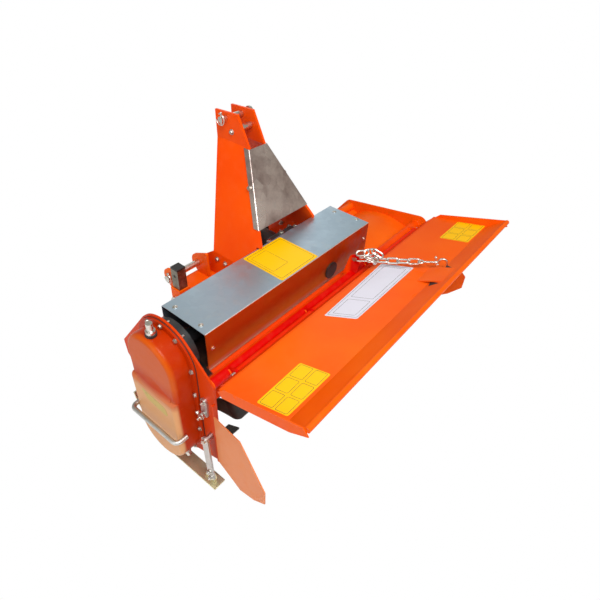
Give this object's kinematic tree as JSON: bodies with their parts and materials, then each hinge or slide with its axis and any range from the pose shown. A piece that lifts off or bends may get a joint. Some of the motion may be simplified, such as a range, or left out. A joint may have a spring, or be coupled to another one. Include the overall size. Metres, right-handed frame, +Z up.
{
  "type": "three-point hitch rotary tiller",
  "caption": "Compact three-point-hitch rotary tiller with side chain drive, bladed rotor, mast, cover box, skids, parking stand and a hinged rear flap held up by a chain.",
  "frame": {"origin": "middle of the machine's box at ground level, under the skids and the stand", "axes": "+X to the machine's right seen from behind, +Y forward to the tractor, +Z up"},
  "size_m": [1.2636, 0.834, 0.911],
  "materials": {
    "orange_paint": "gloss",
    "black_paint": "satin",
    "black_plastic": "matte",
    "galvanised_steel": "satin",
    "zinc_plate": "satin",
    "gasket": "matte"
  },
  "bodies": {
    "frame": {"front_tube": "orange_paint", "side_plate_left": "orange_paint", "side_plate_right": "orange_paint", "deflector_left": "orange_paint", "deflector_right": "orange_paint", "case_gasket": "gasket", "chain_case": "orange_paint", "case_plugs": "zinc_plate", "guard_bar": "galvanised_steel", "gearbox": "black_paint", "drive_tube": "black_paint", "hood": "orange_paint", "pto_guard": "black_plastic", "cover_box": "galvanised_steel", "inspection_cap": "black_plastic", "box_end": "orange_paint", "mast_left": "orange_paint", "mast_right": "orange_paint", "top_link_pin": "zinc_plate", "mast_spacer": "zinc_plate", "mast_shield": "galvanised_steel", "front_apron": "orange_paint", "hitch_beam": "orange_paint", "hitch_lugs_left": "orange_paint", "hitch_lugs_right": "orange_paint", "lower_pin_left": "zinc_plate", "lower_pin_right": "zinc_plate", "stand_sleeve": "orange_paint", "bearing_left": "orange_paint", "bearing_right": "orange_paint", "skid_left": "galvanised_steel", "skid_right": "galvanised_steel", "skid_link_left": "galvanised_steel", "skid_link_right": "galvanised_steel", "hinge_pin": "zinc_plate", "rear_tube": "orange_paint"},
    "rotor": {"rotor_shaft": "black_paint", "rotor_blades": "black_paint"},
    "pto_shaft": {"pto_stub": "zinc_plate"},
    "flap": {"flap_panel": "orange_paint"},
    "flap_chain": {"flap_chain": "zinc_plate"},
    "flap_chain_end": {"flap_chain_end": "zinc_plate", "chain_hook": "zinc_plate"},
    "stand": {"stand_leg": "galvanised_steel", "stand_cap": "black_plastic"}
  },
  "joints": [
    {"name": "rotor_spin", "type": "hinge", "parent": "frame", "child": "rotor", "pos_m": [0.02218, 0.073, 0.18], "axis": [1, 0, 0], "continuous": true},
    {"name": "pto_spin", "type": "hinge", "parent": "frame", "child": "pto_shaft", "pos_m": [0.03218, 0.331, 0.476], "axis": [0, 1, 0], "continuous": true},
    {"name": "flap_hinge", "type": "hinge", "parent": "frame", "child": "flap", "pos_m": [0.02218, -0.111, 0.466], "axis": [1, 0, 0], "range_deg": [-6, 65]},
    {"name": "chain_swing", "type": "hinge", "parent": "frame", "child": "flap_chain", "pos_m": [0.11518, -0.085, 0.516], "axis": [1, 0, 0], "range_deg": [-3.92, 40.5]},
    {"name": "chain_bend", "type": "hinge", "parent": "flap_chain", "child": "flap_chain_end", "pos_m": [0.15904, -0.18721, 0.53812], "axis": [1, 0, 0], "range_deg": [-2.3, 22.95]},
    {"name": "stand_slide", "type": "slide", "parent": "frame", "child": "stand", "axis": [0, 0, 1], "range_m": [0, 0.23]}
  ],
  "couplings": [
    {"joint": "pto_spin", "follows": "rotor_spin", "ratio": 2.6},
    {"joint": "chain_swing", "follows": "flap_hinge", "ratio": 0.62},
    {"joint": "chain_bend", "follows": "flap_hinge", "ratio": 0.35}
  ]
}
